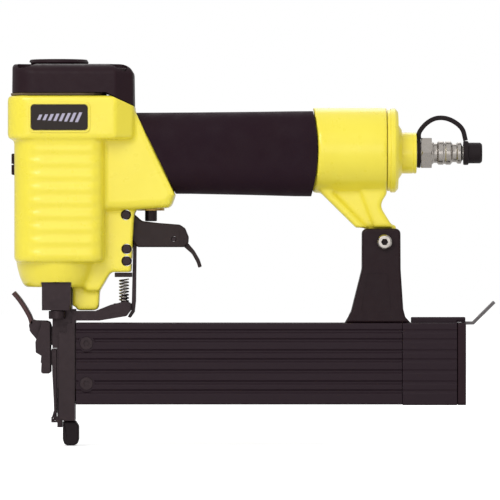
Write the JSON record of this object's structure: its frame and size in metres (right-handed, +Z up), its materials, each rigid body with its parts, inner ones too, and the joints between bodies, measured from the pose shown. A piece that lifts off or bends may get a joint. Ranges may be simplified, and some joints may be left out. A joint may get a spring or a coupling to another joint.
{
  "type": "pneumatic nail gun",
  "caption": "Air-powered brad nailer with cast body, rubber grip, long rear magazine, quick-release nose latch, sprung safety and capped air plug.",
  "frame": {"origin": "middle of the flat underside of the no-mar tip, the point set on the work", "axes": "+Z up along the driver, from the work to the cap; +X from the nose to the air inlet; Y across the tool, with y = 0 its middle plane"},
  "size_m": [0.2431, 0.0552, 0.1926],
  "materials": {
    "yellow_casting": "gloss yellow paint on die-cast aluminium",
    "black_plastic": "moulded black plastic",
    "label_plastic": "blank black plate",
    "trigger_plastic": "black moulded trigger",
    "grip_rubber": "soft black rubber",
    "ring_rubber": "seal rubber",
    "black_aluminium": "black anodised extrusion",
    "bracket_casting": "satin black coated casting",
    "black_steel": "black oxide steel",
    "bronzed_steel": "bronzed steel",
    "bright_steel": "bright plated steel",
    "bare_aluminium": "bare machined aluminium",
    "brass": "turned brass",
    "gasket_paper": "gasket paper"
  },
  "bodies": {
    "tool": {"housing": "yellow_casting", "front_vent": "black_plastic", "top_cap": "black_plastic", "cap_screw_1": "black_steel", "cap_screw_2": "black_steel", "cap_screw_3": "black_steel", "cap_screw_4": "black_steel", "cap_gasket": "gasket_paper", "deflector_screw": "black_steel", "head_valve_spring": "bright_steel", "cylinder_sleeve": "bare_aluminium", "bumper": "ring_rubber", "label_plate": "label_plastic", "grip_sleeve": "grip_rubber", "handle_end_cap": "yellow_casting", "air_plug": "bright_steel", "dust_cap_tether": "grip_rubber", "valve_body": "brass", "valve_spring": "bright_steel", "trigger_pin": "black_steel", "guide_pin_upper": "black_steel", "guide_pin_lower": "black_steel", "spring_plate": "black_steel", "safety_spring": "bright_steel", "nose_body": "black_steel", "nose_screw_1": "black_steel", "nose_screw_2": "black_steel", "door_pin": "bright_steel", "latch_pin": "bright_steel", "magazine_body": "black_aluminium", "magazine_screw_1": "black_steel", "magazine_screw_2": "black_steel", "rear_bracket": "bracket_casting", "bracket_screw": "bright_steel", "bracket_nut": "bright_steel", "bracket_base_screw": "black_steel"},
    "deflector": {"exhaust_deflector": "black_plastic"},
    "head_valve": {"head_valve": "bare_aluminium"},
    "driver": {"piston": "bare_aluminium", "piston_ring": "ring_rubber", "driver_blade": "bright_steel"},
    "dust_cap": {"dust_cap": "grip_rubber"},
    "trigger": {"trigger": "trigger_plastic", "idler_pin": "black_steel"},
    "idler": {"trigger_idler": "bright_steel"},
    "valve_stem": {"valve_stem": "bright_steel"},
    "safety": {"safety_yoke": "black_steel", "safety_rod": "black_steel", "no_mar_tip": "grip_rubber"},
    "door": {"nose_door": "black_steel"},
    "latch": {"latch_lever": "bronzed_steel"},
    "bail": {"latch_bail": "black_steel"},
    "magazine_slider": {"sliding_rail": "bare_aluminium", "end_block": "black_aluminium", "end_plate": "black_plastic", "spring_rod": "bright_steel", "release_pin": "bright_steel", "pusher_spring": "bright_steel"},
    "pusher": {"pusher": "bright_steel"},
    "release": {"release_lever": "bright_steel"}
  },
  "joints": [
    {"name": "deflector_turn", "type": "hinge", "parent": "tool", "child": "deflector", "pos_m": [-0.0056, 0, 0.191], "axis": [0, 0, 1], "continuous": true},
    {"name": "head_valve_slide", "type": "slide", "parent": "tool", "child": "head_valve", "axis": [0, 0, 1], "range_m": [0, 0.004], "stiffness_N_per_m": 900, "springref_m": -0.002, "deforming": ["head_valve_spring"]},
    {"name": "driver_slide", "type": "slide", "parent": "tool", "child": "driver", "axis": [0, 0, -1], "range_m": [0, 0.051]},
    {"name": "dust_cap_slide", "type": "slide", "parent": "tool", "child": "dust_cap", "axis": [1, 0, 0], "range_m": [0, 0.012], "deforming": ["dust_cap_tether"]},
    {"name": "trigger_hinge", "type": "hinge", "parent": "tool", "child": "trigger", "pos_m": [0.0282, 0, 0.115], "axis": [0, -1, 0], "range_deg": [0, 12], "stiffness_Nm_per_rad": 0.6, "springref_deg": -5.73},
    {"name": "idler_hinge", "type": "hinge", "parent": "trigger", "child": "idler", "pos_m": [0.052, 0, 0.103], "axis": [0, 1, 0], "range_deg": [0, 18]},
    {"name": "valve_stem_slide", "type": "slide", "parent": "tool", "child": "valve_stem", "axis": [0, 0, 1], "range_m": [0, 0.0026], "deforming": ["valve_spring"]},
    {"name": "safety_slide", "type": "slide", "parent": "tool", "child": "safety", "axis": [0, 0, 1], "range_m": [0, 0.006], "stiffness_N_per_m": 350, "springref_m": -0.02, "deforming": ["safety_spring"]},
    {"name": "latch_hinge", "type": "hinge", "parent": "tool", "child": "latch", "pos_m": [-0.012, 0, 0.0543], "axis": [0, -1, 0], "range_deg": [0, 60]},
    {"name": "bail_hinge", "type": "hinge", "parent": "latch", "child": "bail", "pos_m": [-0.012, 0, 0.0595], "axis": [0, 1, 0], "range_deg": [0, 115]},
    {"name": "door_hinge", "type": "hinge", "parent": "tool", "child": "door", "pos_m": [-0.0079, 0, 0.0128], "axis": [0, -1, 0], "range_deg": [0, 30]},
    {"name": "magazine_slide", "type": "slide", "parent": "tool", "child": "magazine_slider", "axis": [1, 0, 0], "range_m": [0, 0.13]},
    {"name": "pusher_slide", "type": "slide", "parent": "magazine_slider", "child": "pusher", "axis": [1, 0, 0], "range_m": [0, 0.1], "stiffness_N_per_m": 25, "springref_m": -0.08, "deforming": ["pusher_spring"]},
    {"name": "release_hinge", "type": "hinge", "parent": "magazine_slider", "child": "release", "pos_m": [0.1956, 0, 0.0576], "axis": [0, 1, 0], "range_deg": [0, 12], "stiffness_Nm_per_rad": 0.3, "springref_deg": -5.73}
  ],
  "couplings": [
    {"joint": "idler_hinge", "follows": "safety_slide", "rad_per_m": 48},
    {"joint": "valve_stem_slide", "follows": "trigger_hinge", "m_per_rad": 0.0115},
    {"joint": "bail_hinge", "follows": "latch_hinge", "ratio": 1.9},
    {"joint": "door_hinge", "follows": "latch_hinge", "ratio": 0.45}
  ]
}
